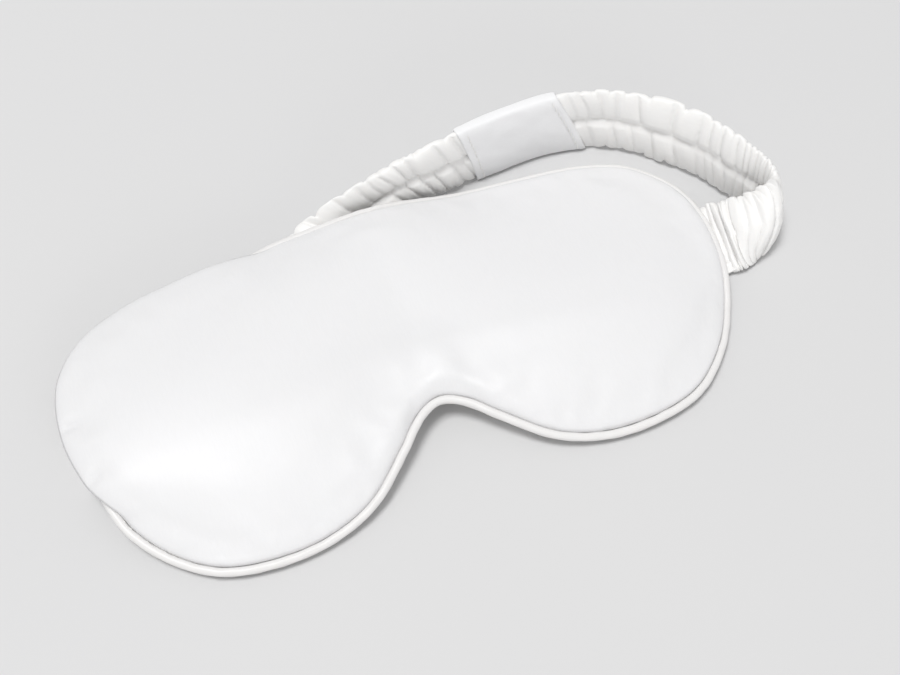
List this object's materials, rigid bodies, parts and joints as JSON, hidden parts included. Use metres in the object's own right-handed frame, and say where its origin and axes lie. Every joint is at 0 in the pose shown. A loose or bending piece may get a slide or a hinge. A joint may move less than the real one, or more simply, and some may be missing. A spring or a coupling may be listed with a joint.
{
  "type": "sleep mask",
  "caption": "Padded satin sleep mask with piped edge, nose notch and a gathered satin-covered elastic head strap that swings at its sewn ends.",
  "frame": {"origin": "middle of the whole object's footprint, on the surface that it lies on", "axes": "+X along the mask towards its right side as seen from the front, +Y towards the brow edge, +Z out of the mask's front face"},
  "size_m": [0.2316, 0.1116, 0.0261],
  "materials": {
    "front_satin": "white silk satin, soft lengthwise sheen",
    "back_satin": "white silk satin",
    "piping_satin": "white silk satin cut on the bias",
    "strap_satin": "ivory silk satin, gathered",
    "label_satin": "smooth white ribbon satin, plain",
    "wadding": "soft polyester wadding",
    "blackout_cloth": "dense matt woven cloth",
    "cotton_cord": "twisted cotton filler cord",
    "woven_elastic": "ribbed woven elastic",
    "sewing_thread": "polyester sewing thread"
  },
  "bodies": {
    "mask": {"front_panel": "front_satin", "back_panel": "back_satin", "front_padding": "wadding", "blackout_liner": "blackout_cloth", "back_padding": "wadding", "piping_cover": "piping_satin", "piping_cord": "cotton_cord", "edge_seam_thread": "sewing_thread", "strap_end_right": "strap_satin", "strap_end_left": "strap_satin", "bar_tack_right": "sewing_thread", "bar_tack_left": "sewing_thread"},
    "strap": {"strap_casing": "strap_satin", "strap_elastic": "woven_elastic", "centre_needle_thread": "sewing_thread", "centre_bobbin_thread": "sewing_thread", "label_sleeve": "label_satin", "label_stitch_right": "sewing_thread", "label_stitch_left": "sewing_thread"}
  },
  "joints": [
    {"name": "strap_swing", "type": "hinge", "parent": "mask", "child": "strap", "pos_m": [0, -0.018, 0], "axis": [1, 0, 0], "range_deg": [-90, 0]}
  ]
}
